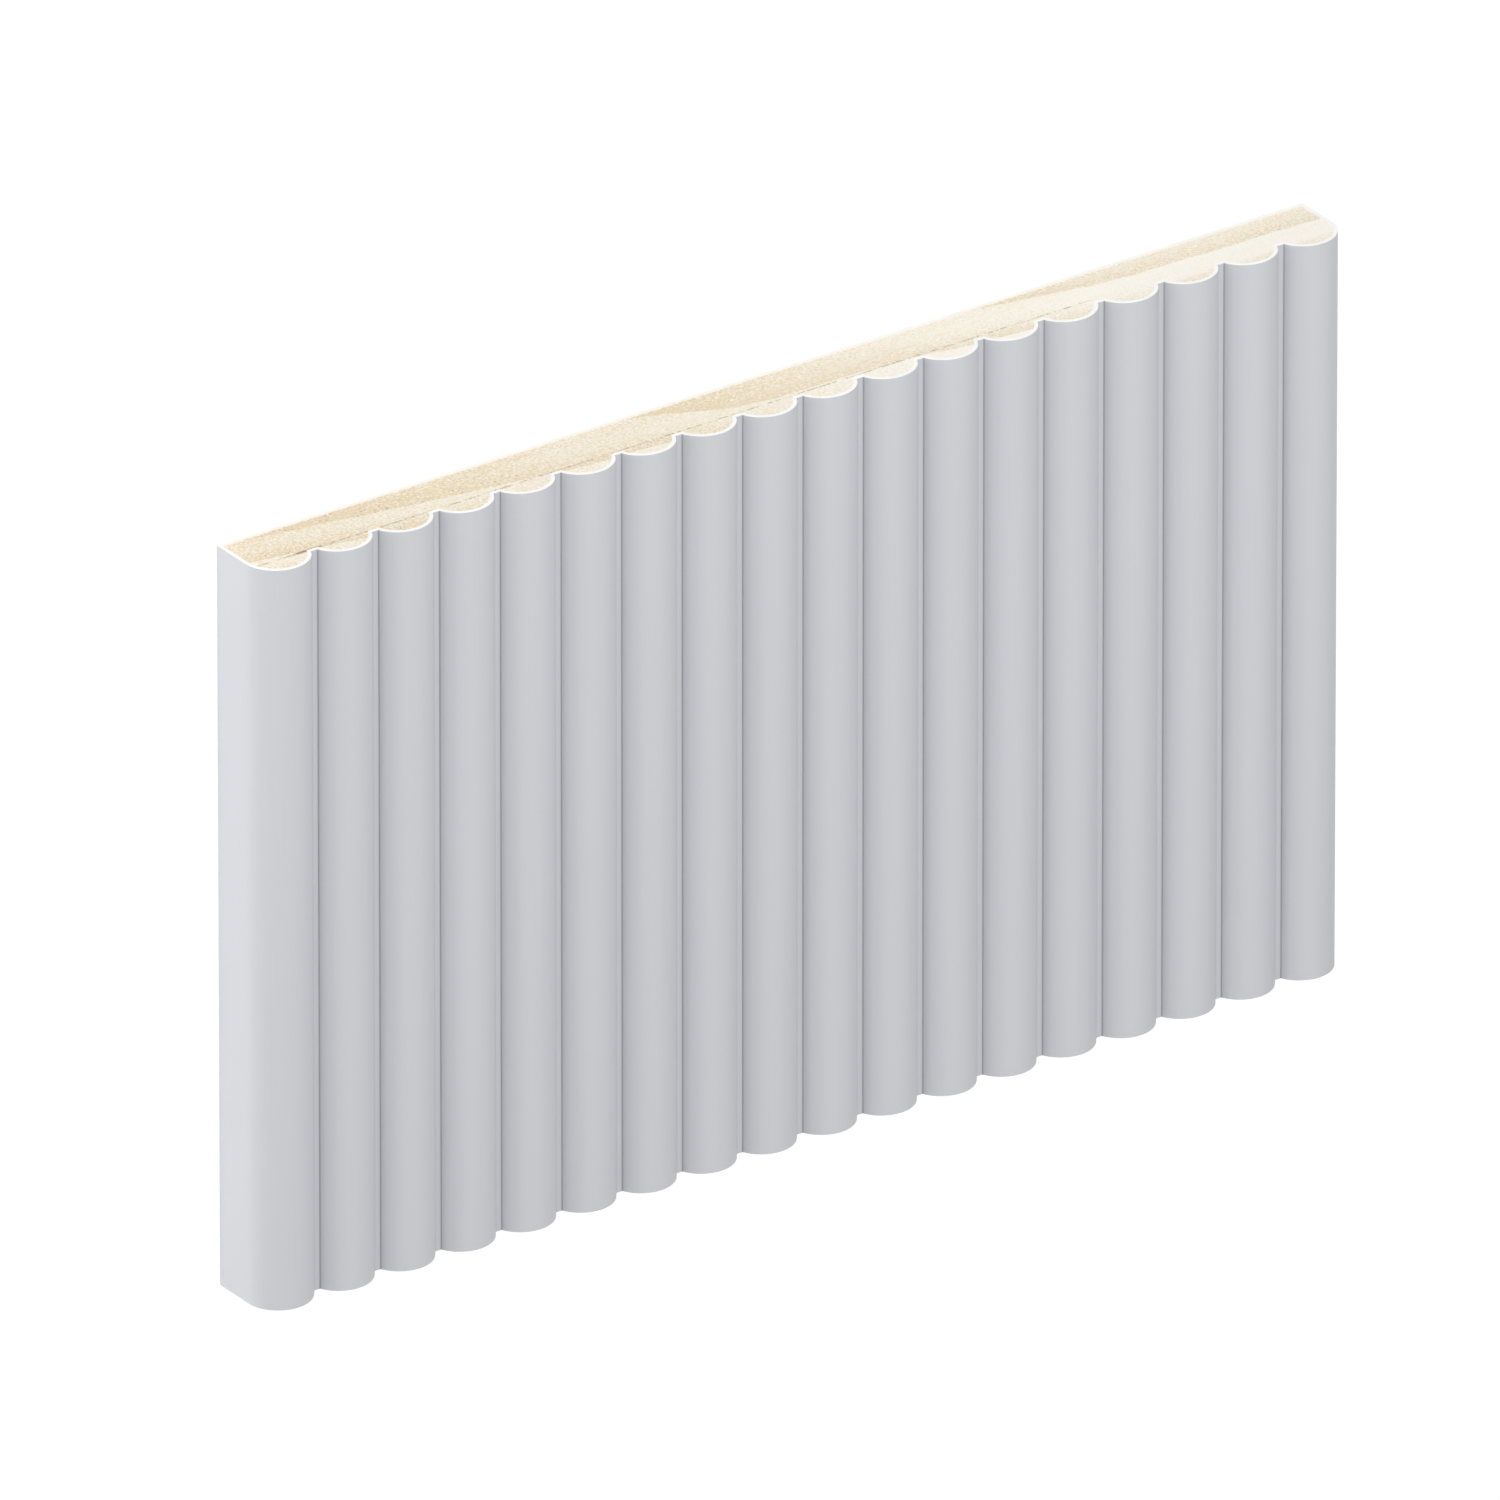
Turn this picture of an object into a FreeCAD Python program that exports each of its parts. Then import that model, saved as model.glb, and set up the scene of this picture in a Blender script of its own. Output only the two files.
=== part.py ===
import FreeCAD, Part
import os
import Sketcher
from FreeCAD import Vector

# A reeded wall panel: one moulded board with half-round reeds side by side on its front,
# and a primer coat all round it, whose cut edge shows as a white rim on both sawn ends.
# The panel lies on its back. X runs across the reeds, Y along them, Z up from the back.
# The origin is the middle of the back.

# Driving sizes in millimetres: alias, value, meaning
DRIVING_SIZES = (
    ("panel_width", 240, "over the two long edges, coat included"),
    ("panel_length", 150, "from one sawn end to the other"),
    ("panel_thickness", 15.7, "from the back to the crown of a reed, coat included"),
    ("reed_count", 18, "reeds across the width"),
    ("reed_radius", 6.55, "radius of a coated reed"),
    ("groove_depth", 3.85, "from the crown down to the flat between two reeds"),
    ("coat_thickness", 0.65, "primer on the front, the long edges and the back"),
)

# What the driving sizes give: alias, formula, meaning
WORKED_OUT_SIZES = (
    ("reed_axis_height", "=panel_thickness - reed_radius", "from the back to a reed's axis"),
    ("reed_span", "=panel_width - 2 * reed_radius", "from the first reed's axis to the last"),
    ("groove_height", "=panel_thickness - groove_depth", "from the back to the groove flats"),
)

NO_COAT_OFF = "0"
COAT_OFF = "dims.coat_thickness"

doc = FreeCAD.newDocument("reeded_wall_panel")


def fill_sheet():
    """The sheet that every size of the panel is bound to."""
    sheet = doc.addObject("Spreadsheet::Sheet", "dims")
    rows = DRIVING_SIZES + WORKED_OUT_SIZES
    for row, (alias, content, meaning) in enumerate(rows, start=1):
        sheet.set(f"A{row}", alias)
        sheet.set(f"B{row}", str(content))
        sheet.set(f"C{row}", meaning)
        sheet.setAlias(f"B{row}", alias)
    doc.recompute()
    return sheet


def origin_feature(body, role):
    return next(feature for feature in body.Origin.OriginFeatures if feature.Role == role)


def section_sketch(body, name):
    """An empty sketch on the body's own XZ plane, seen along the reeds."""
    sketch = body.newObject("Sketcher::SketchObject", name)
    sketch.AttachmentSupport = (origin_feature(body, "XZ_Plane"), [""])
    sketch.MapMode = "FlatFace"
    return sketch


def bind(sketch, name, constraint, expression):
    """Adds a measured constraint and ties it to the sheet."""
    index = sketch.addConstraint(constraint)
    sketch.renameConstraint(index, name)
    sketch.setExpression(f".Constraints.{name}", expression)


def board_sketch(body, inset):
    """The board under the reeds: straight sides up to the reeds' axes, a shoulder half a reed
    wide at each side for the outermost reeds, and between them the level of the groove flats."""
    half_width = sheet.panel_width / 2
    half_span = sheet.reed_span / 2
    corners = [
        Vector(-half_width, 0),
        Vector(half_width, 0),
        Vector(half_width, sheet.reed_axis_height),
        Vector(half_span, sheet.reed_axis_height),
        Vector(half_span, sheet.groove_height),
        Vector(-half_span, sheet.groove_height),
        Vector(-half_span, sheet.reed_axis_height),
        Vector(-half_width, sheet.reed_axis_height),
    ]
    sketch = section_sketch(body, "board_section")
    for start, end in zip(corners, corners[1:] + corners[:1]):
        sketch.addGeometry(Part.LineSegment(start, end), False)
    back, right, right_shoulder, right_riser, top, left_riser, left_shoulder, left = range(8)
    for line in range(8):
        sketch.addConstraint(Sketcher.Constraint("Coincident", line, 2, (line + 1) % 8, 1))
    for line in (right, right_riser, left_riser, left):
        sketch.addConstraint(Sketcher.Constraint("Vertical", line))
    for line in (right_shoulder, left_shoulder):
        sketch.addConstraint(Sketcher.Constraint("Horizontal", line))
    sketch.addConstraint(Sketcher.Constraint("Horizontal", right, 2, left, 1))
    for line in (back, top):
        sketch.addConstraint(Sketcher.Constraint("Symmetric", line, 1, line, 2, -2))
    bind(
        sketch,
        "width",
        Sketcher.Constraint("DistanceX", back, 1, back, 2, 2 * half_width),
        f"dims.panel_width - 2 * {inset}",
    )
    bind(
        sketch,
        "back_height",
        Sketcher.Constraint("DistanceY", -1, 1, back, 1, 0),
        inset,
    )
    bind(
        sketch,
        "shoulder_height",
        Sketcher.Constraint("DistanceY", -1, 1, right, 2, sheet.reed_axis_height),
        "dims.reed_axis_height",
    )
    bind(
        sketch,
        "span",
        Sketcher.Constraint("DistanceX", top, 2, top, 1, 2 * half_span),
        "dims.reed_span",
    )
    bind(
        sketch,
        "flat_height",
        Sketcher.Constraint("DistanceY", -1, 1, top, 1, sheet.groove_height),
        f"dims.groove_height - {inset}",
    )
    return sketch


def reed_sketch(body, inset):
    """The half-round section of the leftmost reed, closed across its axis."""
    axis = Vector(-sheet.reed_span / 2, sheet.reed_axis_height)
    radius = sheet.reed_radius
    half_round = Part.ArcOfCircle(Part.Circle(axis, Vector(0, 0, 1), radius), 0, 3.14159)
    base = Part.LineSegment(axis - Vector(radius, 0), axis + Vector(radius, 0))
    sketch = section_sketch(body, "reed_section")
    arc = sketch.addGeometry(half_round, False)
    line = sketch.addGeometry(base, False)
    sketch.addConstraint(Sketcher.Constraint("Coincident", arc, 1, line, 2))
    sketch.addConstraint(Sketcher.Constraint("Coincident", arc, 2, line, 1))
    sketch.addConstraint(Sketcher.Constraint("Horizontal", line))
    sketch.addConstraint(Sketcher.Constraint("PointOnObject", arc, 3, line))
    bind(
        sketch,
        "axis_offset",
        Sketcher.Constraint("DistanceX", arc, 3, -1, 1, -axis.x),
        "dims.reed_span / 2",
    )
    bind(
        sketch,
        "axis_height",
        Sketcher.Constraint("DistanceY", -1, 1, arc, 3, axis.y),
        "dims.reed_axis_height",
    )
    bind(
        sketch,
        "radius",
        Sketcher.Constraint("Radius", arc, radius),
        f"dims.reed_radius - {inset}",
    )
    return sketch


def length_pad(body, sketch, name):
    """Runs a section the length of the panel, half to each side of the middle."""
    pad = body.newObject("PartDesign::Pad", name)
    pad.Profile = sketch
    pad.SideType = "Symmetric"
    pad.setExpression("Length", "dims.panel_length")
    return pad


def reeded_board(name, inset):
    """A board with its reeds, whose whole skin lies inside the coated outline by the inset."""
    body = doc.addObject("PartDesign::Body", name)
    length_pad(body, board_sketch(body, inset), "board")
    reed = length_pad(body, reed_sketch(body, inset), "reed")
    reeds = body.newObject("PartDesign::LinearPattern", "reeds")
    reeds.Originals = [reed]
    reeds.Direction = (origin_feature(body, "X_Axis"), [""])
    reeds.Mode = "Extent"
    reeds.setExpression("Length", "dims.reed_span")
    reeds.setExpression("Occurrences", "dims.reed_count")
    body.Tip = reeds
    return body


def coat_around(name, outline, core):
    """What lies between the coated outline and the bare timber. It is open at both ends."""
    coat = doc.addObject("Part::Cut", name)
    coat.Base = outline
    coat.Tool = core
    return coat


def check_built(nodes):
    for item in doc.Objects:
        if "Invalid" in item.State or "Error" in item.State:
            raise RuntimeError(f"{item.Label} is not built: {item.State}")
    for node in nodes:
        shape = node.Shape
        if shape.isNull() or not shape.isValid() or len(shape.Solids) != 1:
            raise RuntimeError(f"{node.Label} is not one valid solid")
        print(f"{node.Label}: {shape.Volume:.0f} mm3")


sheet = fill_sheet()
timber_core = reeded_board("timber_core", COAT_OFF)
coated_outline = reeded_board("coated_outline", NO_COAT_OFF)
primer_coat = coat_around("primer_coat", coated_outline, timber_core)
doc.recompute()

panel_nodes = (timber_core, primer_coat)
check_built(panel_nodes)
os.makedirs("parts", exist_ok=True)
for panel_node in panel_nodes:
    panel_node.Shape.exportStep(f"parts/{panel_node.Label}.step")
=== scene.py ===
import math

import bpy
from mathutils import Matrix, Vector


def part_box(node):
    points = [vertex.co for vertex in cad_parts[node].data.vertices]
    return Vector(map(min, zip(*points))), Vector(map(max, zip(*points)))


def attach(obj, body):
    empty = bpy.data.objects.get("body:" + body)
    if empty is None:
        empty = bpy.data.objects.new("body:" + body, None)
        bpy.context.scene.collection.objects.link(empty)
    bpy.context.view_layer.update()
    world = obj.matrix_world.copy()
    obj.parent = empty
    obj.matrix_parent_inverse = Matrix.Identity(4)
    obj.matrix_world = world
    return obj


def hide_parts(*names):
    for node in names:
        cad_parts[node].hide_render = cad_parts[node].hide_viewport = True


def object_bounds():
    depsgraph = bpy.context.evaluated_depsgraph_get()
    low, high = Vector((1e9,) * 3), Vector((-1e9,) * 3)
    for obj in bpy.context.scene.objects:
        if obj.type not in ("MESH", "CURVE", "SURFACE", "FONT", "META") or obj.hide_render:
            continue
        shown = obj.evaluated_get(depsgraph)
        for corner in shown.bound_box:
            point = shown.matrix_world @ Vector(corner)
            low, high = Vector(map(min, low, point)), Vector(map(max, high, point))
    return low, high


bl_info = {
    "name": "Reeded Wall Panel",
    "version": (1, 0, 0),
    "blender": (4, 5, 0),
    "location": "View3D > Sidebar > Reeded Panel",
    "description": "Builds a primed softwood wall panel with a reeded front, and a studio round it",
    "category": "Object",
}

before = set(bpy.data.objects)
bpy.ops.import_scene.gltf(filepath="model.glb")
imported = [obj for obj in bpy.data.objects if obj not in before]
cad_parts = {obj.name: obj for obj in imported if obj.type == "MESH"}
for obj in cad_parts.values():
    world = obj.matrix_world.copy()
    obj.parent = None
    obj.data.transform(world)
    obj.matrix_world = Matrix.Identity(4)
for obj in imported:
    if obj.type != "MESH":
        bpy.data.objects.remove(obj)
CAD_LOW, CAD_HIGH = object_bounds()
COAT_LOW, COAT_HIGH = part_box("primer_coat")
CORE_LOW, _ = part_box("timber_core")
MM = 0.001
BODY = "root"
MERGE_DISTANCE = 0.002 * MM


class Value:
    """One output of a node. Python arithmetic on it adds Math nodes to its tree."""

    def __init__(self, nodes, socket):
        self.nodes = nodes
        self.socket = socket

    def output(self, name):
        return Value(self.nodes, self.socket.node.outputs[name])

    def maths(self, operation, *others):
        values = dict(enumerate((self, *others)))
        return self.nodes.add("ShaderNodeMath", {"operation": operation}, values)

    def __add__(self, other):
        return self.maths("ADD", other)

    __radd__ = __add__

    def __sub__(self, other):
        return self.maths("SUBTRACT", other)

    def __rsub__(self, other):
        return self.nodes.number(other) - self

    def __mul__(self, other):
        return self.maths("MULTIPLY", other)

    __rmul__ = __mul__

    def __truediv__(self, other):
        return self.maths("DIVIDE", other)

    def __neg__(self):
        return self * -1.0

    def __pow__(self, power):
        return self.maths("POWER", power)


class Nodes:
    """Adds nodes to one tree."""

    def __init__(self, tree):
        self.tree = tree

    def number(self, value):
        """A plain number as the first term of an expression."""
        return self.add("ShaderNodeMath", {"operation": "ADD"}, {0: value, 1: 0.0})

    def add(self, kind, settings=None, sockets=None, output=0):
        """A node of that kind. Its settings are set first, then its sockets are filled or linked."""
        node = self.tree.nodes.new(kind)
        for name, value in (settings or {}).items():
            if name == "stops":
                fill_ramp(node.color_ramp, value)
            else:
                setattr(node, name, value)
        for key, value in (sockets or {}).items():
            if isinstance(value, Value):
                self.tree.links.new(value.socket, node.inputs[key])
            else:
                node.inputs[key].default_value = value
        return Value(self, node.outputs[output]) if node.outputs else None

    def mix(self, factor, low, high):
        """A mix of two numbers."""
        return self.add("ShaderNodeMix", {"data_type": "FLOAT"}, {0: factor, 2: low, 3: high})

    def mix_colour(self, factor, low, high):
        """A mix of two colours."""
        sockets = {0: factor, 6: low, 7: high}
        return self.add("ShaderNodeMix", {"data_type": "RGBA"}, sockets, output=2)


def fill_ramp(ramp, stops):
    ramp.interpolation = "CARDINAL"
    while len(ramp.elements) < len(stops):
        ramp.elements.new(1.0)
    for element, (position, level) in zip(ramp.elements, stops):
        element.position = position
        element.color = grey(level)


def whole(value):
    return value.maths("FLOOR")


def sine(value):
    return value.maths("SINE")


def cosine(value):
    return value.maths("COSINE")


def unit(value):
    """The value, held between 0 and 1."""
    return value.maths("MINIMUM", 1.0).maths("MAXIMUM", 0.0)


def fade(value, gone, full):
    """0 where the value is at gone and 1 where it is at full, straight between them."""
    return unit((value - gone) / (full - gone))


def above(value, limit):
    """1 where the value is over the limit, and 0 elsewhere."""
    return value.maths("GREATER_THAN", limit)


def grey(level):
    return (level, level, level, 1.0)


def srgb(red, green, blue):
    """A colour as it is read off a screen, from 0 to 255, made linear."""

    def linear(level):
        level /= 255
        return level / 12.92 if level <= 0.04045 else ((level + 0.055) / 1.055) ** 2.4

    return (linear(red), linear(green), linear(blue), 1.0)


# Sizes and colours that a user would change


class PanelSizes(bpy.types.PropertyGroup):
    width: bpy.props.FloatProperty(
        name="Width",
        description="Over both long edges",
        default=COAT_HIGH.x - COAT_LOW.x,
        unit="LENGTH",
    )
    length: bpy.props.FloatProperty(
        name="Length",
        description="From one sawn end to the other",
        default=COAT_HIGH.y - COAT_LOW.y,
        unit="LENGTH",
    )
    thickness: bpy.props.FloatProperty(
        name="Thickness",
        description="From the back to the crown of a reed",
        default=COAT_HIGH.z - COAT_LOW.z,
        unit="LENGTH",
    )
    coat: bpy.props.FloatProperty(
        name="Primer",
        description="Thickness of the primer coat",
        default=CORE_LOW.z - COAT_LOW.z,
        unit="LENGTH",
    )
    reed_count: bpy.props.IntProperty(
        name="Reeds",
        description="Reeds across the width",
        default=18,
    )
    reed_radius: bpy.props.FloatProperty(
        name="Reed radius",
        description="Radius of a coated reed",
        default=6.55 * MM,
        unit="LENGTH",
    )
    groove_depth: bpy.props.FloatProperty(
        name="Groove depth",
        description="From the crown down to the flat between two reeds",
        default=3.85 * MM,
        unit="LENGTH",
    )
    crease: bpy.props.FloatProperty(
        name="Crease fillet",
        description="Radius that the primer leaves where a reed meets the flat",
        default=0.06 * MM,
        unit="LENGTH",
    )
    corner: bpy.props.FloatProperty(
        name="Back corner",
        description="Radius of the two long corners at the back",
        default=0.3 * MM,
        unit="LENGTH",
    )
    arris: bpy.props.FloatProperty(
        name="Sawn arris",
        description="Radius of the primer's edge at the sawn ends",
        default=0.12 * MM,
        unit="LENGTH",
    )


class PrimerLook(bpy.types.PropertyGroup):
    colour: bpy.props.FloatVectorProperty(
        name="Primer",
        description="Colour of the primed faces",
        subtype="COLOR",
        size=4,
        default=srgb(210, 212, 216),
    )
    cut_colour: bpy.props.FloatVectorProperty(
        name="Cut primer",
        description="Colour of the primer where the saw has cut it",
        subtype="COLOR",
        size=4,
        default=srgb(251, 250, 247),
    )
    roughness: bpy.props.FloatProperty(
        name="Roughness",
        description="Mean roughness of the primed faces",
        default=0.65,
        subtype="FACTOR",
    )


class TimberLook(bpy.types.PropertyGroup):
    early: bpy.props.FloatVectorProperty(
        name="Earlywood",
        description="Colour of the pale, fast-grown part of a ring",
        subtype="COLOR",
        size=4,
        default=srgb(250, 246, 236),
    )
    late: bpy.props.FloatVectorProperty(
        name="Latewood",
        description="Colour of the dark edge of a ring",
        subtype="COLOR",
        size=4,
        default=srgb(227, 210, 177),
    )
    pore: bpy.props.FloatVectorProperty(
        name="Pores",
        description="Colour of pores, resin canals and the fine dark line",
        subtype="COLOR",
        size=4,
        default=srgb(150, 125, 92),
    )
    soaked: bpy.props.FloatVectorProperty(
        name="Soaked rim",
        description="Colour of the wood where primer has soaked in",
        subtype="COLOR",
        size=4,
        default=srgb(251, 249, 245),
    )


class StudioLook(bpy.types.PropertyGroup):
    turn: bpy.props.FloatProperty(
        name="Turn",
        description="How far round the panel's left edge the camera stands",
        default=math.radians(35.11),
        subtype="ANGLE",
    )
    rise: bpy.props.FloatProperty(
        name="Rise",
        description="How far over the panel's far sawn end the camera stands",
        default=math.radians(27.0),
        subtype="ANGLE",
    )
    picture_width: bpy.props.FloatProperty(
        name="Picture width",
        description="Width of the picture where the panel lies",
        default=271.76 * MM,
        unit="LENGTH",
    )
    aim: bpy.props.FloatVectorProperty(
        name="Aim",
        description="Point of the panel in the middle of the picture",
        subtype="TRANSLATION",
        size=3,
        default=(-8.3 * MM, 4.17 * MM, 8.0 * MM),
    )
    lens: bpy.props.FloatProperty(
        name="Lens",
        description="Focal length in millimetres, long enough to keep the reeds parallel",
        default=1500.0,
    )


# Geometry Nodes for the reeded section

ARC_STEPS = 28
CREASE_STEPS = 3
CORNER_STEPS = 4
BACK_STEPS = 24
LENGTH_STEPS = 8
SHARP_BEND = math.radians(40)
ARRIS_STEPS = 3
REED_STEPS = ARC_STEPS + 2 * CREASE_STEPS + 1
CLOSING_STEPS = 2 * CORNER_STEPS + BACK_STEPS
SIZE_INPUTS = (
    ("Width", "width"),
    ("Length", "length"),
    ("Thickness", "thickness"),
    ("Primer", "coat"),
    ("Reed Radius", "reed_radius"),
    ("Groove Depth", "groove_depth"),
    ("Crease Fillet", "crease"),
    ("Back Corner", "corner"),
    ("Sawn Arris", "arris"),
)


def section_tree(name):
    """An empty geometry tree with the panel's sizes as its inputs."""
    tree = bpy.data.node_groups.new(name, "GeometryNodeTree")
    for label, _ in SIZE_INPUTS:
        socket = tree.interface.new_socket(label, in_out="INPUT", socket_type="NodeSocketFloat")
        socket.subtype = "DISTANCE"
    tree.interface.new_socket("Reed Count", in_out="INPUT", socket_type="NodeSocketInt")
    tree.interface.new_socket("Finish", in_out="INPUT", socket_type="NodeSocketMaterial")
    tree.interface.new_socket("Geometry", in_out="OUTPUT", socket_type="NodeSocketGeometry")
    nodes = Nodes(tree)
    entry = nodes.add("NodeGroupInput")
    return nodes, entry


def ring_steps(size):
    """How many steps the closed section has, from the left back corner over the reeds and back."""
    return size("Reed Count") * REED_STEPS + CLOSING_STEPS


def reeded_section(nodes, size, step, inset):
    """Width and height of one step of the section, whose skin lies inside the coat by the inset.

    The steps run from the left edge over the reeds to the right edge, then along the back.
    """
    radius = size("Reed Radius")
    crease = size("Crease Fillet")
    half_width = size("Width") / 2
    axis_height = size("Thickness") - radius
    flat_height = size("Thickness") - size("Groove Depth")
    half_span = half_width - radius
    last_reed = size("Reed Count") - 1
    reed = whole((step + 0.5) / REED_STEPS).maths("MINIMUM", last_reed)
    place = step - reed * REED_STEPS
    axis_x = reed * (half_span * 2) / last_reed - half_span

    # Where a reed meets the fillet in its groove
    fillet_rise = flat_height + crease - axis_height
    fillet_reach = radius + crease
    meeting = (fillet_rise / fillet_reach).maths("ARCCOSINE")

    # How far the step lies into the fillet, or down the edge, on the reed's left and right
    into_left = unit(1 - place / CREASE_STEPS)
    into_right = unit((place - CREASE_STEPS - ARC_STEPS) / CREASE_STEPS)
    beside = into_left + into_right
    is_first = 1 - above(reed, 0.5)
    is_last = above(reed, last_reed - 0.5)

    # The half-round reed
    left_end = nodes.mix(is_first, meeting, math.pi / 2)
    right_end = nodes.mix(is_last, meeting, math.pi / 2)
    angle = nodes.mix(unit((place - CREASE_STEPS) / ARC_STEPS), left_end, -right_end)
    reed_x = axis_x - sine(angle) * (radius - inset)
    reed_z = axis_height + cosine(angle) * (radius - inset)

    # The fillet beside it
    side = nodes.mix(above(into_right, 0), -1.0, 1.0)
    fillet_angle = meeting * (1 - beside)
    fillet_radius = crease + inset
    fillet_x = axis_x + side * (sine(meeting) * fillet_reach - sine(fillet_angle) * fillet_radius)
    fillet_z = flat_height + crease - cosine(fillet_angle) * fillet_radius

    # The straight edge under the outermost reeds
    corner = size("Back Corner").maths("MAXIMUM", inset)
    edge_x = side * (half_width - inset)
    edge_z = nodes.mix(beside, axis_height, corner)

    # The back, with its two rounded corners
    behind = place - REED_STEPS
    corner_radius = (size("Back Corner") - inset).maths("MAXIMUM", 0.0)
    along = unit((behind - CORNER_STEPS) / BACK_STEPS)
    first_turn = unit(behind / CORNER_STEPS)
    second_turn = unit((behind - CORNER_STEPS - BACK_STEPS) / CORNER_STEPS)
    turn = (first_turn + second_turn) * (math.pi / 2)
    back_x = (half_width - corner) * (1 - along * 2) + cosine(turn) * corner_radius
    back_z = corner - sine(turn) * corner_radius

    is_edge = above(is_first * into_left + is_last * into_right, 0)
    is_back = above(behind, -0.5)
    x = nodes.mix(above(beside, 0), reed_x, nodes.mix(is_edge, fillet_x, edge_x))
    z = nodes.mix(above(beside, 0), reed_z, nodes.mix(is_edge, fillet_z, edge_z))
    return nodes.mix(is_back, x, back_x), nodes.mix(is_back, z, back_z)


def finish_tree(nodes, size, geometry):
    """Merged seams, smooth faces with sharp corners, and the finish."""
    merged = nodes.add(
        "GeometryNodeMergeByDistance",
        sockets={"Geometry": geometry, "Distance": MERGE_DISTANCE},
    )
    smooth = nodes.add(
        "GeometryNodeSetShadeSmooth",
        {"domain": "FACE"},
        {"Geometry": merged, "Shade Smooth": True},
    )
    bend = nodes.add("GeometryNodeInputMeshEdgeAngle", output="Unsigned Angle")
    cornered = nodes.add(
        "GeometryNodeSetShadeSmooth",
        {"domain": "EDGE"},
        {
            "Geometry": smooth,
            "Selection": above(bend, SHARP_BEND),
            "Shade Smooth": False,
        },
    )
    real = nodes.add("GeometryNodeRealizeInstances", sockets={"Geometry": cornered})
    finished = nodes.add(
        "GeometryNodeSetMaterial", sockets={"Geometry": real, "Material": size("Finish")}
    )
    nodes.add("NodeGroupOutput", sockets={"Geometry": finished})


def coat_tree():
    """The primer coat: a closed sleeve with its outer skin, its rims and its inner skin."""
    nodes, entry = section_tree("primer_coat_sleeve")
    size = entry.output
    half_rows = LENGTH_STEPS + ARRIS_STEPS + 1
    rows = 2 * half_rows + 1
    columns = ring_steps(size)
    grid = nodes.add(
        "GeometryNodeMeshGrid",
        sockets={
            "Size X": columns,
            "Size Y": float(rows),
            "Vertices X": columns + 1,
            "Vertices Y": rows + 1,
        },
    )
    place = nodes.add(
        "ShaderNodeSeparateXYZ", sockets={0: nodes.add("GeometryNodeInputPosition")}
    )
    step = whole(place.output("X") + columns / 2 + 0.5)
    row = whole(place.output("Y") + rows / 2 + 0.5)

    # The last row falls on the first, so that the inner skin closes the sleeve
    from_middle = nodes.mix(above(row, rows - 0.5), row - half_rows, -half_rows)
    end = from_middle.maths("SIGN")
    out = from_middle.maths("ABSOLUTE")
    arris = size("Sawn Arris")
    turn = unit((out - LENGTH_STEPS) / ARRIS_STEPS) * (math.pi / 2)
    straight = (size("Length") / 2 - arris) * unit(out / LENGTH_STEPS)
    y = end * (straight + sine(turn) * arris)
    over_rim = unit(out - (LENGTH_STEPS + ARRIS_STEPS))
    inset = (1 - cosine(turn)) * arris + (size("Primer") - arris) * over_rim
    x, z = reeded_section(nodes, size, step, inset)
    spot = nodes.add("ShaderNodeCombineXYZ", sockets={"X": x, "Y": y, "Z": z})
    placed = nodes.add("GeometryNodeSetPosition", sockets={"Geometry": grid, "Position": spot})
    finish_tree(nodes, size, placed)
    return nodes.tree


def core_tree():
    """The bare timber inside the coat: its section, filled and run the length of the panel."""
    nodes, entry = section_tree("timber_core_solid")
    size = entry.output
    line = nodes.add(
        "GeometryNodeMeshLine",
        sockets={"Count": ring_steps(size) + 1, "Offset": (0.0, 0.0, 0.0)},
    )
    step = nodes.add("GeometryNodeInputIndex") * 1.0
    x, z = reeded_section(nodes, size, step, size("Primer"))
    spot = nodes.add("ShaderNodeCombineXYZ", sockets={"X": x, "Y": z})
    outline = nodes.add("GeometryNodeSetPosition", sockets={"Geometry": line, "Position": spot})
    closed = nodes.add(
        "GeometryNodeMergeByDistance",
        sockets={"Geometry": outline, "Distance": MERGE_DISTANCE},
    )
    ring = nodes.add("GeometryNodeMeshToCurve", sockets={0: closed})
    face = nodes.add("GeometryNodeFillCurve", {"mode": "NGONS"}, {"Curve": ring})
    length = nodes.add("ShaderNodeCombineXYZ", sockets={"Z": size("Length")})
    run = nodes.add(
        "GeometryNodeExtrudeMesh",
        {"mode": "FACES"},
        {"Mesh": face, "Offset": length, "Individual": False},
    )
    near = nodes.add("GeometryNodeFlipFaces", sockets={"Mesh": face})
    joined = nodes.add("GeometryNodeJoinGeometry")
    for part in (run, near):
        nodes.tree.links.new(part.socket, joined.socket.node.inputs[0])
    drawn = nodes.add(
        "ShaderNodeSeparateXYZ", sockets={0: nodes.add("GeometryNodeInputPosition")}
    )
    lying = nodes.add(
        "ShaderNodeCombineXYZ",
        sockets={
            "X": drawn.output("X"),
            "Y": drawn.output("Z") - size("Length") / 2,
            "Z": drawn.output("Y"),
        },
    )
    laid = nodes.add("GeometryNodeSetPosition", sockets={"Geometry": joined, "Position": lying})
    turned = nodes.add("GeometryNodeFlipFaces", sockets={"Mesh": laid})
    finish_tree(nodes, size, turned)
    return nodes.tree


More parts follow.
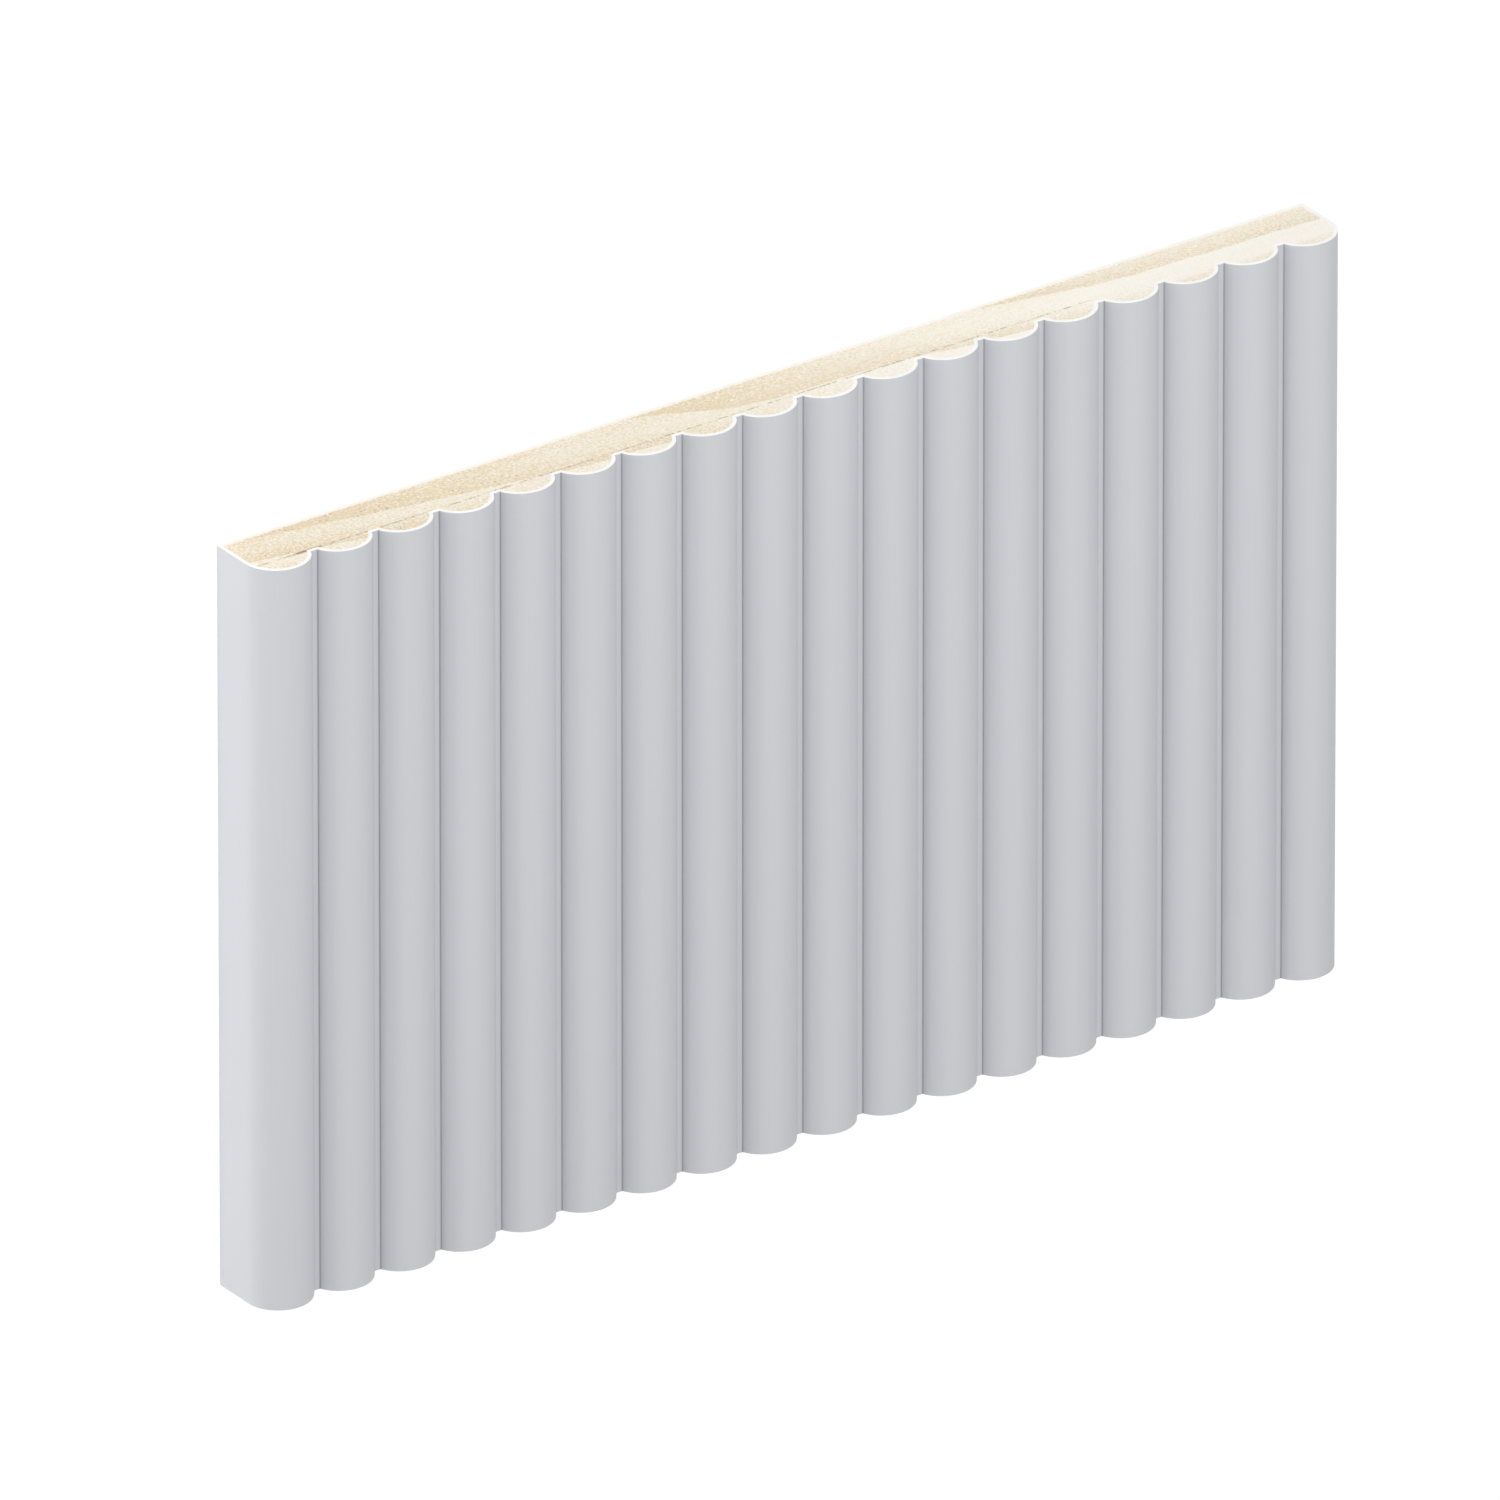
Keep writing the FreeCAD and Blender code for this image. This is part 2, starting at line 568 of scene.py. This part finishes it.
def grow(name, tree, finish):
    """A plain mesh object from a tree that is fed with the panel's sizes."""
    sizes = bpy.context.scene.panel_sizes
    piece = bpy.data.objects.new(name, bpy.data.meshes.new(name))
    bpy.context.scene.collection.objects.link(piece)
    growth = piece.modifiers.new("growth", "NODES")
    growth.node_group = tree
    identifiers = {item.name: item.identifier for item in tree.interface.items_tree}
    for label, key in SIZE_INPUTS:
        growth[identifiers[label]] = getattr(sizes, key)
    growth[identifiers["Reed Count"]] = sizes.reed_count
    growth[identifiers["Finish"]] = finish
    weigh = piece.modifiers.new("weigh", "WEIGHTED_NORMAL")
    weigh.keep_sharp = True
    weigh.weight = 100
    scene = bpy.context.evaluated_depsgraph_get()
    mesh = bpy.data.meshes.new_from_object(
        piece.evaluated_get(scene), preserve_all_data_layers=True, depsgraph=scene
    )
    mesh.name = name
    mesh.materials.clear()
    mesh.materials.append(finish)
    piece.modifiers.clear()
    piece.data = mesh
    return piece


# Finishes


def new_finish(name):
    """A material with its shader, and what adds nodes to it."""
    material = bpy.data.materials.new(name)
    material.use_nodes = True
    nodes = Nodes(material.node_tree)
    shader = material.node_tree.nodes["Principled BSDF"]
    return material, nodes, shader


def feed(nodes, shader, values):
    """Links values to the shader's inputs of those names."""
    for name, value in values.items():
        nodes.tree.links.new(value.socket, shader.inputs[name])


def place_in_mm(nodes):
    """Object coordinates in millimetres from the middle of the panel's back."""
    point = nodes.add("ShaderNodeTexCoord", output="Object")
    return nodes.add("ShaderNodeVectorMath", {"operation": "SCALE"}, {0: point, "Scale": 1 / MM})


def axes_of(nodes, point):
    return nodes.add("ShaderNodeSeparateXYZ", sockets={0: point})


def noise(nodes, point, stretch, scale, detail=2.0, roughness=0.5):
    """Noise from 0 to 1 on a point that is squeezed by the stretch first."""
    squeezed = nodes.add(
        "ShaderNodeVectorMath", {"operation": "MULTIPLY"}, {0: point, 1: stretch}
    )
    return nodes.add(
        "ShaderNodeTexNoise",
        sockets={"Vector": squeezed, "Scale": scale, "Detail": detail, "Roughness": roughness},
    )


def bump(nodes, strength, distance, height):
    """Relief of that strength, whose distance is in mm."""
    return nodes.add(
        "ShaderNodeBump",
        sockets={"Strength": strength, "Distance": distance * MM, "Height": height},
    )


def curve(nodes, value, points):
    """A smooth curve through a few points."""
    first, last = points[0][0], points[-1][0]
    levels = [level for _, level in points]
    low, high = min(levels), max(levels)
    stops = [
        ((place - first) / (last - first), (level - low) / (high - low))
        for place, level in points
    ]
    along = (value - first) / (last - first)
    return nodes.add("ShaderNodeValToRGB", {"stops": stops}, {0: along}) * (high - low) + low


def reed_place(axes, sizes):
    """Where a point lies on its reed's section: beside the reed's axis and above it, in mm."""
    radius = sizes.reed_radius / MM
    pitch = (sizes.width / MM - 2 * radius) / (sizes.reed_count - 1)
    across = axes.output("X") + sizes.width / MM / 2
    beside = (((across - radius) / pitch + 0.5).maths("FRACT") - 0.5) * pitch
    over = axes.output("Z") - (sizes.thickness / MM - radius)
    return beside, over


def crease_distance(axes, sizes):
    """How far a point lies from the crease at the foot of its reed, in mm."""
    beside, over = reed_place(axes, sizes)
    radius = sizes.reed_radius / MM
    crease_over = radius - sizes.groove_depth / MM
    crease_beside = math.sqrt(radius**2 - crease_over**2)
    out = beside.maths("ABSOLUTE") - crease_beside
    rise = over - crease_over
    last_axis = (sizes.width / 2 - sizes.reed_radius) / MM
    past_last_axis = (axes.output("X").maths("ABSOLUTE") - last_axis).maths("MAXIMUM", 0.0)
    return (out * out + rise * rise) ** 0.5 + past_last_axis


# Noises on the primer: how much of each axis counts, the scale per mm, and the detail
MOULDER_LINES = ((1.0, 0.02, 1.0), 2.2, 3.0)
PRIMER_CLOUDS = ((1.0, 0.3, 1.0), 0.035)
ORANGE_PEEL = ((1.0, 0.6, 1.0), 1.4)
# How much lines and clouds change the primer's brightness, and the peel its roughness
PRIMER_MOTTLE = 0.03
PEEL_ROUGHNESS = 0.12
CUT_ROUGHNESS = 0.8
# Strength and depth in mm of the primer's relief, and what lines and peel have in it
PRIMER_RELIEF = (0.08, 0.05)
LINES_IN_RELIEF = 0.6
PEEL_IN_RELIEF = 0.4
# How far, in mm, and how much shade is painted into the primer's colour beside the crease at the
# foot of a reed
PAINTED_CREASE_REACH = 0.28
PAINTED_CREASE_SHADE = 0.43


def primer_finish():
    """Matt primer with faint lengthwise lines from the moulder, painted shade beside the creases,
    and its white cut edge.
    """
    look = bpy.context.scene.primer_look
    sizes = bpy.context.scene.panel_sizes
    material, nodes, shader = new_finish("matt_primer")
    point = place_in_mm(nodes)
    axes = axes_of(nodes, point)
    cut_from = (sizes.length - sizes.arris) / 2 / MM
    cut = above(axes.output("Y").maths("ABSOLUTE"), cut_from)

    lines = noise(nodes, point, *MOULDER_LINES)
    clouds = noise(nodes, point, *PRIMER_CLOUDS)
    peel = noise(nodes, point, *ORANGE_PEEL)
    mottle = 1 + (lines + clouds - 1) * PRIMER_MOTTLE
    # Painted shade: the primer's colour is darkened close to the crease at the foot of each reed,
    # where shade would fall
    crease = fade(crease_distance(axes, sizes), PAINTED_CREASE_REACH, 0.0)
    tint = nodes.add(
        "ShaderNodeVectorMath",
        {"operation": "SCALE"},
        {0: tuple(look.colour)[:3], "Scale": mottle * (1 - crease * PAINTED_CREASE_SHADE)},
    )
    colour = nodes.mix_colour(cut, tint, tuple(look.cut_colour))
    rough = nodes.mix(cut, look.roughness + (peel - 0.5) * PEEL_ROUGHNESS, CUT_ROUGHNESS)
    relief = bump(nodes, *PRIMER_RELIEF, lines * LINES_IN_RELIEF + peel * PEEL_IN_RELIEF)
    feed(nodes, shader, {"Base Color": colour, "Roughness": rough, "Normal": relief})
    return material


# Growth rings of the sawn end in mm from the left edge of the panel and from its back
RING_WIDTH = 75.0
RING_DEPTH = 11.8
OUTER_RING_DEPTH = 8.5
RING_START_X = 5.5
RING_START_DEPTH = 1.5
# How far a ring shifts for each mm along the board, and how far it ripples, as shares of a ring
RING_DRIFT = 0.0012
RING_RIPPLES = 0.08
# How far the rings wander from their even slope, as a share of a ring, across the panel
RING_WANDER = (
    (0, 0.0),
    (26, 0.04),
    (40, 0.08),
    (56, 0.05),
    (74, 0.03),
    (90, -0.12),
    (101, 0.09),
    (111, 0.25),
    (125, 0.12),
    (144, -0.08),
    (156, -0.08),
    (168, -0.15),
    (190, -0.11),
    (205, -0.23),
    (220, -0.41),
    (240, -0.62),
)
# How dark it is from the front edge of a ring to the back of it
RING_TONE = ((0.0, 0.54), (0.05, 0.54), (0.2, 0.4), (0.42, 0.2), (0.65, 0.06), (1.0, 0.0))
# How dark the wood is between the rings, across the panel
GROUND_TONE = (
    (0, 0.48),
    (50, 0.48),
    (72, 0.4),
    (90, 0.36),
    (109, 0.45),
    (130, 0.28),
    (150, 0.17),
    (175, 0.1),
    (205, 0.06),
    (240, 0.03),
)
# The wood is paler towards the reeds: by how much for each mm past a depth, and at most
PALER_PER_MM = 0.035
PALER_FROM = 5.3
PALER_MOST = 0.12
# A last, faint ring in the tips of the reeds near the right edge, and where it sets in
TIP_TONE = 0.2
TIP_DEPTH = (12.7, 13.7)
TIP_ACROSS = (185.0, 205.0)
# Noises on the timber: how much of each axis counts, the scale per mm, detail and roughness
RING_RIPPLE = ((0.15, 0.02, 1.0), 0.8, 3.0)
COARSE_FIBRES = ((0.8, 0.05, 1.0), 0.75, 3.0, 0.6)
FINE_FIBRES = ((0.9, 0.05, 1.0), 1.9, 2.0, 0.7)
FIBRE_BANDS = ((0.06, 0.02, 1.0), 1.0)
CANAL_GROUPS = ((1.0, 0.05, 1.0), 0.5)
LINE_BREAKS = ((1.0, 0.05, 0.1), 0.9, 3.0, 0.8)
SOAKING = ((1.0, 0.05, 1.0), 1.3, 2.0, 0.7)
# How much each noise of cut fibres counts, and how much of them shows on pale and on dark wood
COARSE_SHARE = 0.5
FINE_SHARE = 3.6
BAND_SHARE = 0.35
SHOWN_ON_PALE = 0.35
SHOWN_ON_DARK = 0.8
# Resin canals: cells per mm, and where one, its group, its ring and all of them fade in
CANAL_SCALE = 0.9
CANAL_EDGE = (0.243, 0.1)
CANAL_GROUP_FROM = 0.54
CANAL_RING_TONE = (0.28, 0.363)
CANALS_ACROSS = (110.0, 50.0)
# The fine line near the front: depth, rise for each mm across, and where it fades in
LINE_DEPTH = 11.35
LINE_RISE = 0.0054
LINE_EDGE = (0.3, 0.1)
LINE_BREAK_EDGE = (0.433, 0.6)
LINE_ACROSS = (188.0, 180.0)
# The dark mark on that line: its place across, and where its sides and its ends fade in
MARK_PLACE = 12.0
MARK_EDGE = (0.45, 0.2)
MARK_ENDS = (3.75, 1.875)
# How much of the pore colour each of the three has
CANAL_TONE = 0.55
LINE_TONE = 0.6
MARK_TONE = 0.9
# How deep the primer has soaked in, in mm on top of the noise, and how much of its colour shows
REAR_SOAK = 0.15
SIDE_SOAK_LESS = 0.2
FRONT_SOAK_LESS = 0.15
FRONT_SOAK_SHARE = 0.5
SOAKED_TONE = 0.8
# Strength and depth in mm of the timber's relief, and what fibres and dark places have in it
TIMBER_RELIEF = (0.2, 0.08)
FIBRES_IN_RELIEF = 0.5
DARK_IN_RELIEF = 0.6
TIMBER_ROUGHNESS = 0.75


def ring_darkness(nodes, point, across, depth, from_end):
    """How dark a point is for its place in its ring, whose front edge is the dark one."""
    ring_height = (across - RING_START_X) * (RING_DEPTH / RING_WIDTH)
    before_ring = depth - RING_START_DEPTH - ring_height
    outer = before_ring.maths("MAXIMUM", 0.0) * (1 / OUTER_RING_DEPTH - 1 / RING_DEPTH)
    ripple = noise(nodes, point, *RING_RIPPLE) - 0.5
    phase = (
        curve(nodes, across, RING_WANDER)
        - before_ring / RING_DEPTH
        - outer
        + ripple * RING_RIPPLES
        + from_end * RING_DRIFT
    )
    return curve(nodes, phase.maths("FRACT"), RING_TONE)


def dark_places(nodes, point, across, depth, ring_tone):
    """Resin canals, which lie in the rings, and the fine broken line with its dark mark."""
    flat = nodes.add("ShaderNodeCombineXYZ", sockets={"X": across, "Y": depth})
    canal = nodes.add(
        "ShaderNodeTexVoronoi",
        {"feature": "F1", "voronoi_dimensions": "2D"},
        {"Vector": flat, "Scale": CANAL_SCALE},
    )
    in_group = above(noise(nodes, point, *CANAL_GROUPS), CANAL_GROUP_FROM)
    in_ring = fade(ring_tone, *CANAL_RING_TONE)
    canals = fade(canal, *CANAL_EDGE) * in_ring * in_group * fade(across, *CANALS_ACROSS)

    to_line = (depth - (LINE_DEPTH - across * LINE_RISE)).maths("ABSOLUTE")
    unbroken = fade(noise(nodes, point, *LINE_BREAKS), *LINE_BREAK_EDGE)
    line = fade(to_line, *LINE_EDGE) * unbroken * fade(across, *LINE_ACROSS)
    from_mark = (across - MARK_PLACE).maths("ABSOLUTE")
    mark = fade(to_line, *MARK_EDGE) * fade(from_mark, *MARK_ENDS)
    return unit(canals * CANAL_TONE + line * LINE_TONE + mark * MARK_TONE)


def soaked_rim(nodes, point, axes, sizes):
    """Where the primer has soaked into the wood beside it."""
    beside, over = reed_place(axes, sizes)
    depth = axes.output("Z")
    to_back = depth - sizes.coat / MM
    to_side = (sizes.width / 2 - sizes.coat) / MM - axes.output("X")
    to_reed = (sizes.reed_radius - sizes.coat) / MM - (beside * beside + over * over) ** 0.5
    to_groove = (sizes.thickness - sizes.groove_depth - sizes.coat) / MM - depth
    to_front = to_reed.maths("MAXIMUM", to_groove)
    to_rear = to_back.maths("MINIMUM", to_side + SIDE_SOAK_LESS)
    soaking = noise(nodes, point, *SOAKING)
    at_rear = above(soaking + REAR_SOAK - to_rear, 0)
    at_front = above(soaking * FRONT_SOAK_SHARE - FRONT_SOAK_LESS - to_front, 0)
    return unit(at_rear + at_front)


def timber_finish():
    """Sawn end of a flat-sawn softwood board, whose rings run out to the front at a low slope."""
    look = bpy.context.scene.timber_look
    sizes = bpy.context.scene.panel_sizes
    material, nodes, shader = new_finish("sawn_softwood")
    point = place_in_mm(nodes)
    axes = axes_of(nodes, point)
    across = axes.output("X") + sizes.width / MM / 2
    depth = axes.output("Z")
    from_end = sizes.length / MM / 2 - axes.output("Y")

    ring_tone = ring_darkness(nodes, point, across, depth, from_end)
    paler = ((depth - PALER_FROM) * PALER_PER_MM).maths("MINIMUM", PALER_MOST)
    tip = fade(depth, *TIP_DEPTH) * fade(across, *TIP_ACROSS) * TIP_TONE
    tone = curve(nodes, across, GROUND_TONE) + ring_tone + tip - paler
    tone = tone.maths("MAXIMUM", 0.0)

    coarse = noise(nodes, point, *COARSE_FIBRES)
    fine = noise(nodes, point, *FINE_FIBRES)
    bands = noise(nodes, point, *FIBRE_BANDS)
    speckle = (coarse - 0.5) * COARSE_SHARE + (fine - 0.5) * FINE_SHARE
    fibres = speckle + (bands - 0.5) * BAND_SHARE
    amount = unit(tone + fibres * (tone * SHOWN_ON_DARK + SHOWN_ON_PALE))
    grain = nodes.mix_colour(amount, tuple(look.early), tuple(look.late))
    dark = dark_places(nodes, point, across, depth, ring_tone)
    wood = nodes.mix_colour(dark, grain, tuple(look.pore))
    soaked = soaked_rim(nodes, point, axes, sizes) * SOAKED_TONE
    colour = nodes.mix_colour(soaked, wood, tuple(look.soaked))
    relief = bump(nodes, *TIMBER_RELIEF, fine * FIBRES_IN_RELIEF - dark * DARK_IN_RELIEF)
    shader.inputs["Roughness"].default_value = TIMBER_ROUGHNESS
    feed(nodes, shader, {"Base Color": colour, "Normal": relief})
    return material


# Stage

# How bright the floor looks by itself near the panel, and how far away, in m, it turns white
PAPER_LIFT = 0.85
PAPER_NEAR = 0.25
PAPER_FAR = 0.9
# How pale the floor is for the light on it, and for the camera beneath its own brightness
FLOOR_PALE = 0.9
SEEN_PALE = 0.25
FLOOR_REACH = 4.0
SKY_STRENGTH = 0.38
# Soft lamps: the direction from the panel, distance and width in m, and power in W
LAMPS = {
    "end_lamp": ((-0.15, 0.9, 0.5), 0.9, 0.7, 3.21),
    "edge_lamp": ((-1.0, 0.12, 0.11), 1.0, 0.2, 0.94),
    "flank_lamp": ((-0.87, 0.12, 0.5), 1.0, 0.42, 1.65),
    "high_fill": ((0.42, 0.12, 0.91), 1.0, 0.6, 2.93),
    "foot_lamp": ((0.0, -1.0, 0.07), 0.9, 0.1, 1.25),
}
# The low card beside the left edge: its size, its gap to the panel, its height and its power
CARD_WIDTH = 35 * MM
CARD_LENGTH = 200 * MM
CARD_GAP = 0.2 * MM
CARD_HEIGHT = 0.1 * MM
CARD_POWER = 0.0086
CLIP_START = 0.1


def floor_finish():
    """A pale floor that the camera sees as white paper, with the panel's shadow on it."""
    material = bpy.data.materials.new("pale_floor")
    material.use_nodes = True
    material.node_tree.nodes.clear()
    nodes = Nodes(material.node_tree)
    plain = nodes.add("ShaderNodeBsdfDiffuse", sockets={"Color": grey(FLOOR_PALE)})
    seen = nodes.add("ShaderNodeBsdfDiffuse", sockets={"Color": grey(SEEN_PALE)})
    place = place_in_mm(nodes)
    away = nodes.add("ShaderNodeVectorMath", {"operation": "LENGTH"}, {0: place}, "Value") * MM
    whiteness = fade(away, PAPER_NEAR, PAPER_FAR)
    brightness = nodes.mix_colour(whiteness, grey(PAPER_LIFT), grey(1.0))
    lift = nodes.add("ShaderNodeEmission", sockets={"Color": brightness})
    paper = nodes.add("ShaderNodeAddShader", sockets={0: seen, 1: lift})
    ray = nodes.add("ShaderNodeLightPath", output="Is Camera Ray")
    mirrored = unit(ray + ray.output("Is Glossy Ray") + ray.output("Is Transmission Ray"))
    surface = nodes.add("ShaderNodeMixShader", sockets={0: mirrored, 1: plain, 2: paper})
    nodes.add("ShaderNodeOutputMaterial", sockets={"Surface": surface})
    return material


def lay_floor():
    mesh = bpy.data.meshes.new("studio_floor")
    corners = [
        (-FLOOR_REACH, -FLOOR_REACH, 0),
        (FLOOR_REACH, -FLOOR_REACH, 0),
        (FLOOR_REACH, FLOOR_REACH, 0),
        (-FLOOR_REACH, FLOOR_REACH, 0),
    ]
    mesh.from_pydata(corners, [], [(0, 1, 2, 3)])
    mesh.materials.append(floor_finish())
    floor = bpy.data.objects.new("studio_floor", mesh)
    bpy.context.scene.collection.objects.link(floor)


def light_sky():
    """An even sky, which the camera sees as white."""
    world = bpy.data.worlds.new("studio_sky")
    bpy.context.scene.world = world
    world.use_nodes = True
    world.node_tree.nodes.clear()
    nodes = Nodes(world.node_tree)
    ray = nodes.add("ShaderNodeLightPath", output="Is Camera Ray")
    shown = unit(ray + ray.output("Is Transmission Ray"))
    even, white = (
        nodes.add("ShaderNodeBackground", sockets={"Color": grey(1.0), "Strength": strength})
        for strength in (SKY_STRENGTH, 1.0)
    )
    surface = nodes.add("ShaderNodeMixShader", sockets={0: shown, 1: even, 2: white})
    nodes.add("ShaderNodeOutputWorld", sockets={"Surface": surface})


def add_lamp(name, width, length, power):
    """A soft rectangular lamp, which is still to be placed."""
    light = bpy.data.lights.new(name, "AREA")
    light.shape = "RECTANGLE"
    light.size = width
    light.size_y = length
    light.energy = power
    lamp = bpy.data.objects.new(name, light)
    bpy.context.scene.collection.objects.link(lamp)
    return lamp


def hang_lamps():
    """The soft lamps, which all face the panel."""
    for name, (direction, distance, width, power) in LAMPS.items():
        lamp = add_lamp(name, width, width, power)
        towards = Vector(direction).normalized()
        lamp.location = towards * distance
        lamp.rotation_euler = towards.to_track_quat("Z", "Y").to_euler()


def lay_card():
    """A faint lamp that lies face up by the left edge, as a white card would throw light up."""
    card = add_lamp("low_card", CARD_WIDTH, CARD_LENGTH, CARD_POWER)
    card.location = (CAD_LOW.x - CARD_GAP - CARD_WIDTH / 2, 0.0, CARD_HEIGHT)
    card.rotation_euler = (math.pi, 0.0, 0.0)
    card.visible_camera = False


def set_camera():
    """A distant camera with a long lens, turned as the picture shows the panel."""
    look = bpy.context.scene.studio_look
    turn, rise = look.turn, look.rise
    right = Vector((math.cos(turn), 0, math.sin(turn)))
    up = Vector(
        (math.sin(turn) * math.sin(rise), math.cos(rise), -math.cos(turn) * math.sin(rise))
    )
    back = right.cross(up)
    data = bpy.data.cameras.new("camera")
    data.lens = look.lens
    distance = look.picture_width * look.lens / data.sensor_width
    data.clip_start = CLIP_START
    data.clip_end = 2 * distance
    camera = bpy.data.objects.new("camera", data)
    axes = Matrix((right, up, back)).transposed().to_4x4()
    camera.matrix_world = Matrix.Translation(Vector(look.aim) + back * distance) @ axes
    bpy.context.scene.collection.objects.link(camera)
    bpy.context.scene.camera = camera


# Operators and panel


class REEDED_OT_primer_coat(bpy.types.Operator):
    """Makes the primer coat with its matt faces and white cut edge"""

    bl_idname = "reeded.primer_coat"
    bl_label = "Primer coat"

    def execute(self, context):
        piece = grow("primer_skin", coat_tree(), primer_finish())
        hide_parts("primer_coat")
        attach(piece, BODY)
        return {"FINISHED"}


class REEDED_OT_timber_core(bpy.types.Operator):
    """Makes the timber inside the coat, which shows at the sawn ends"""

    bl_idname = "reeded.timber_core"
    bl_label = "Timber core"

    def execute(self, context):
        piece = grow("sawn_timber", core_tree(), timber_finish())
        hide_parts("timber_core")
        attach(piece, BODY)
        return {"FINISHED"}


class REEDED_OT_studio(bpy.types.Operator):
    """Sets up the floor, the lamps and the camera"""

    bl_idname = "reeded.studio"
    bl_label = "Studio"

    def execute(self, context):
        lay_floor()
        light_sky()
        hang_lamps()
        lay_card()
        set_camera()
        context.scene.view_settings.view_transform = "Standard"
        return {"FINISHED"}


class REEDED_PT_panel(bpy.types.Panel):
    """Lists the sizes, the finishes and the steps"""

    bl_label = "Reeded Panel"
    bl_idname = "REEDED_PT_panel"
    bl_space_type = "VIEW_3D"
    bl_region_type = "UI"
    bl_category = "Reeded Panel"

    def draw(self, context):
        layout = self.layout
        for group in PROPERTY_GROUPS:
            settings = getattr(context.scene, group)
            for key in settings.__annotations__:
                layout.prop(settings, key)
        for operator in OPERATORS:
            layout.operator(operator.bl_idname)


PROPERTY_GROUPS = {
    "panel_sizes": PanelSizes,
    "primer_look": PrimerLook,
    "timber_look": TimberLook,
    "studio_look": StudioLook,
}
OPERATORS = (REEDED_OT_primer_coat, REEDED_OT_timber_core, REEDED_OT_studio)


def register():
    for name, group in PROPERTY_GROUPS.items():
        bpy.utils.register_class(group)
        setattr(bpy.types.Scene, name, bpy.props.PointerProperty(type=group))
    for operator in OPERATORS:
        bpy.utils.register_class(operator)
    bpy.utils.register_class(REEDED_PT_panel)


def unregister():
    bpy.utils.unregister_class(REEDED_PT_panel)
    for operator in reversed(OPERATORS):
        bpy.utils.unregister_class(operator)
    for name, group in PROPERTY_GROUPS.items():
        delattr(bpy.types.Scene, name)
        bpy.utils.unregister_class(group)


def main():
    register()
    bpy.ops.reeded.primer_coat()
    bpy.ops.reeded.timber_core()
    bpy.ops.reeded.studio()


if __name__ == "__main__":
    main()
